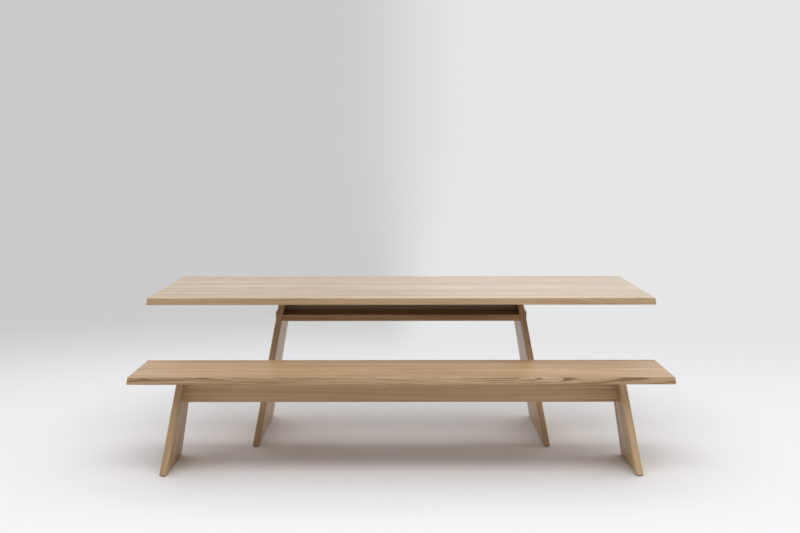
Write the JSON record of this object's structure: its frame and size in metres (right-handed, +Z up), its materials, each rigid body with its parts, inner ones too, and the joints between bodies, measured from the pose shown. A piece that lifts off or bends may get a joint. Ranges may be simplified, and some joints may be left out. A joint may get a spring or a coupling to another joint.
{
  "type": "table and bench set",
  "caption": "Rectangular wooden table on splayed panel legs tied by a through-tenoned shelf, with a long loose bench of the same build that slides in under its edge.",
  "frame": {"origin": "on the floor, under the middle of the set's bounding box, with the bench in its pictured place", "axes": "+X along the table and the bench, +Y from the bench to the far side of the table, +Z up"},
  "size_m": [2.4226, 1.288, 0.74],
  "materials": {
    "oiled_oak": "oiled, satin",
    "black_steel": "satin black",
    "black_nylon": "moulded, matt"
  },
  "bodies": {
    "table": {"table_angle_left": "black_steel", "table_angle_right": "black_steel", "table_angle_screws": "black_steel", "table_batten_left": "oiled_oak", "table_batten_right": "oiled_oak", "table_beam": "oiled_oak", "table_glides": "black_nylon", "table_leg_left_stave_1": "oiled_oak", "table_leg_left_stave_2": "oiled_oak", "table_leg_left_stave_3": "oiled_oak", "table_leg_left_stave_4": "oiled_oak", "table_leg_left_stave_5": "oiled_oak", "table_leg_left_stave_6": "oiled_oak", "table_leg_right_stave_1": "oiled_oak", "table_leg_right_stave_2": "oiled_oak", "table_leg_right_stave_3": "oiled_oak", "table_leg_right_stave_4": "oiled_oak", "table_leg_right_stave_5": "oiled_oak", "table_leg_right_stave_6": "oiled_oak", "table_shelf_board_1": "oiled_oak", "table_shelf_board_2": "oiled_oak", "table_shelf_board_3": "oiled_oak", "table_shelf_board_4": "oiled_oak", "table_top_board_01": "oiled_oak", "table_top_board_02": "oiled_oak", "table_top_board_03": "oiled_oak", "table_top_board_04": "oiled_oak", "table_top_board_05": "oiled_oak", "table_top_board_06": "oiled_oak", "table_top_board_07": "oiled_oak", "table_top_board_08": "oiled_oak", "table_top_board_09": "oiled_oak", "table_top_board_10": "oiled_oak", "table_top_board_11": "oiled_oak", "table_top_board_12": "oiled_oak"},
    "bench": {"bench_beam": "oiled_oak", "bench_glides": "black_nylon", "bench_leg_left_stave_1": "oiled_oak", "bench_leg_left_stave_2": "oiled_oak", "bench_leg_left_stave_3": "oiled_oak", "bench_leg_left_stave_4": "oiled_oak", "bench_leg_right_stave_1": "oiled_oak", "bench_leg_right_stave_2": "oiled_oak", "bench_leg_right_stave_3": "oiled_oak", "bench_leg_right_stave_4": "oiled_oak", "bench_loose_tenons": "oiled_oak", "bench_seat_board_1": "oiled_oak", "bench_seat_board_2": "oiled_oak", "bench_seat_board_3": "oiled_oak", "bench_seat_board_4": "oiled_oak", "bench_seat_board_5": "oiled_oak", "bench_seat_board_6": "oiled_oak"}
  },
  "joints": [
    {"name": "bench_slide", "type": "slide", "parent": "table", "child": "bench", "axis": [0, 1, 0], "range_m": [-0.4, 0.175]}
  ]
}
